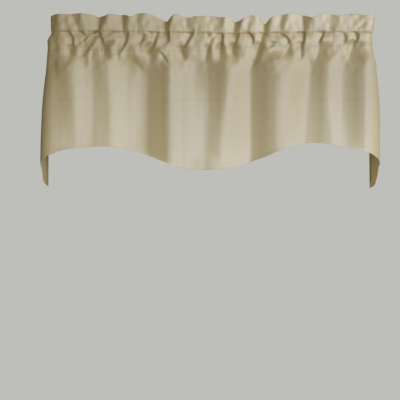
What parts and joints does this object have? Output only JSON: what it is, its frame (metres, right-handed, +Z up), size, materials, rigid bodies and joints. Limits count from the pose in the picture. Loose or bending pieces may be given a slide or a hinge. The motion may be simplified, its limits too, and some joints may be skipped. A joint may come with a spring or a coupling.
{
  "type": "window pelmet",
  "caption": "Gathered rod-pocket window pelmet of satin cloth, with a frilled heading, a scalloped hem and side returns that turn back to the wall and end in tails.",
  "frame": {"origin": "middle of the rod pocket: on the line the curtain rod takes, half way across the window", "axes": "+X to the right across the window as seen from the room, +Y from the room to the wall, +Z up"},
  "size_m": [0.9535, 0.1409, 0.4837],
  "materials": {
    "heading": "satin",
    "skirt": "satin"
  },
  "bodies": {
    "root": {"heading": "heading", "skirt": "skirt"}
  },
  "joints": []
}
